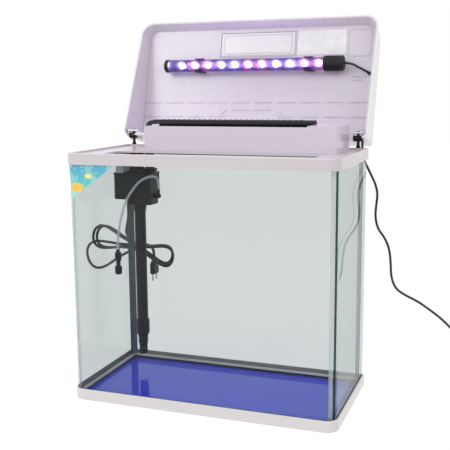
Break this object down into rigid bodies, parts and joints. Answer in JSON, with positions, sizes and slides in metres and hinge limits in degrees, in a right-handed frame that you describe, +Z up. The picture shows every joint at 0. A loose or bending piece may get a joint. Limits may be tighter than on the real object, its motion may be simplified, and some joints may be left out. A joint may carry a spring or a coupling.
{
  "type": "aquarium",
  "caption": "Small glass aquarium with white frames, an open lighting hood on hinges, a top filter box with a spray bar, a submerged pump and its leads.",
  "frame": {"origin": "middle of the tank's underside, on the surface that it stands on", "axes": "+X to the right seen from the front, +Y to the rear, +Z up"},
  "size_m": [0.9018, 0.3824, 0.707],
  "materials": {
    "white_plastic": "satin white injection-moulded plastic",
    "hood_white": "glossy white injection-moulded plastic",
    "box_white": "glossy white injection-moulded plastic",
    "glass": "polished float glass with green edges",
    "blue_base": "glossy blue sheet under the floor glass",
    "silicone": "smooth dark silicone bead",
    "black_plastic": "fine satin black plastic",
    "navy_plastic": "satin dark blue plastic",
    "grey_plastic": "translucent grey plastic",
    "hinge_black": "satin black plastic",
    "steel": "plain steel",
    "brass_pins": "nickel-plated brass",
    "lamp_body": "dark translucent ribbed lamp tube",
    "lamp_black": "satin black rubbery plastic",
    "board": "white lacquered circuit board",
    "led_white": "emissive cold white lens",
    "led_red": "emissive pinkish red lens",
    "clip_clear": "dark translucent clip",
    "label": "blank glossy label",
    "cord_black": "smooth black cord sheath",
    "tube_clear": "clear soft tube",
    "foam": "open-cell filter foam",
    "magnet": "dark ferrite",
    "tie_black": "plastic-covered tie"
  },
  "bodies": {
    "tank": {"bottom_frame": "white_plastic", "blue_base_sheet": "blue_base", "floor_pane": "glass", "wrap_pane": "glass", "rear_pane": "glass", "foot_bead": "silicone", "corner_beads": "silicone", "top_frame": "white_plastic", "hinge_post_left": "hinge_black", "hinge_post_right": "hinge_black", "pump_housing": "black_plastic", "pump_cover": "black_plastic", "pump_riser": "navy_plastic", "impeller_chamber": "black_plastic", "rotor_shaft": "steel", "pump_hanger": "box_white", "grey_clip": "grey_plastic", "venturi": "black_plastic", "intake_pipe": "black_plastic", "intake_coupling": "black_plastic", "air_valve": "black_plastic", "air_line": "tube_clear", "lamp_lead_outer": "cord_black", "lamp_coil": "cord_black", "coil_tie": "tie_black", "lamp_plug": "cord_black", "pump_lead": "cord_black", "pump_hank": "cord_black", "hank_tie": "tie_black", "pump_plug": "cord_black", "pump_plug_pins": "brass_pins"},
    "hood": {"hood_shell": "hood_white", "hood_liner": "hood_white", "label_sheet": "label", "hinge_pins": "steel", "clip_left": "clip_clear", "clip_right": "clip_clear", "clip_screws": "steel", "hatch_pins": "steel", "lamp_lead_inner": "cord_black"},
    "hatch": {"hatch_flap": "hood_white", "hatch_inner": "hood_white"},
    "lamp": {"lamp_tube": "lamp_body", "lamp_end": "lamp_black", "lamp_cord_cap": "lamp_black", "lamp_board": "board", "leds_white": "led_white", "leds_red": "led_red"},
    "filter": {"filter_box": "box_white", "filter_foam": "foam", "filter_grate": "box_white", "bar_elbow": "black_plastic"},
    "outlet_lid": {"box_cover": "box_white"},
    "bar": {"spray_bar": "black_plastic"},
    "rotor": {"impeller": "grey_plastic", "rotor_magnet": "magnet"},
    "air_knob": {"valve_knob": "black_plastic"},
    "inlet": {"strainer": "black_plastic"}
  },
  "joints": [
    {"name": "hood_hinge", "type": "hinge", "parent": "tank", "child": "hood", "pos_m": [0, 0.1205, 0.4755], "axis": [-1, 0, 0], "range_deg": [-116, 0]},
    {"name": "hatch_hinge", "type": "hinge", "parent": "hood", "child": "hatch", "pos_m": [0, 0.22292, 0.63606], "axis": [-1, 0, 0], "range_deg": [0, 85]},
    {"name": "lamp_turn", "type": "hinge", "parent": "hood", "child": "lamp", "pos_m": [0, 0.19617, 0.61521], "axis": [1, 0, 0], "range_deg": [-25, 25]},
    {"name": "filter_lift", "type": "slide", "parent": "tank", "child": "filter", "axis": [0, 0, 1], "range_m": [0, 0.06]},
    {"name": "outlet_lid_lift", "type": "slide", "parent": "filter", "child": "outlet_lid", "axis": [0, 0, 1], "range_m": [0, 0.03]},
    {"name": "spray_bar_turn", "type": "hinge", "parent": "filter", "child": "bar", "pos_m": [0, 0.06, 0.503], "axis": [1, 0, 0], "range_deg": [-60, 60]},
    {"name": "impeller_spin", "type": "hinge", "parent": "tank", "child": "rotor", "pos_m": [-0.1927, 0.062, 0.345], "axis": [0, 0, 1], "continuous": true},
    {"name": "air_knob_turn", "type": "hinge", "parent": "tank", "child": "air_knob", "pos_m": [-0.2265, 0.0275, 0.215], "axis": [0, 0, 1], "range_deg": [-135, 135]},
    {"name": "strainer_pull", "type": "slide", "parent": "tank", "child": "inlet", "axis": [0, 0, -1], "range_m": [0, 0.015]}
  ]
}
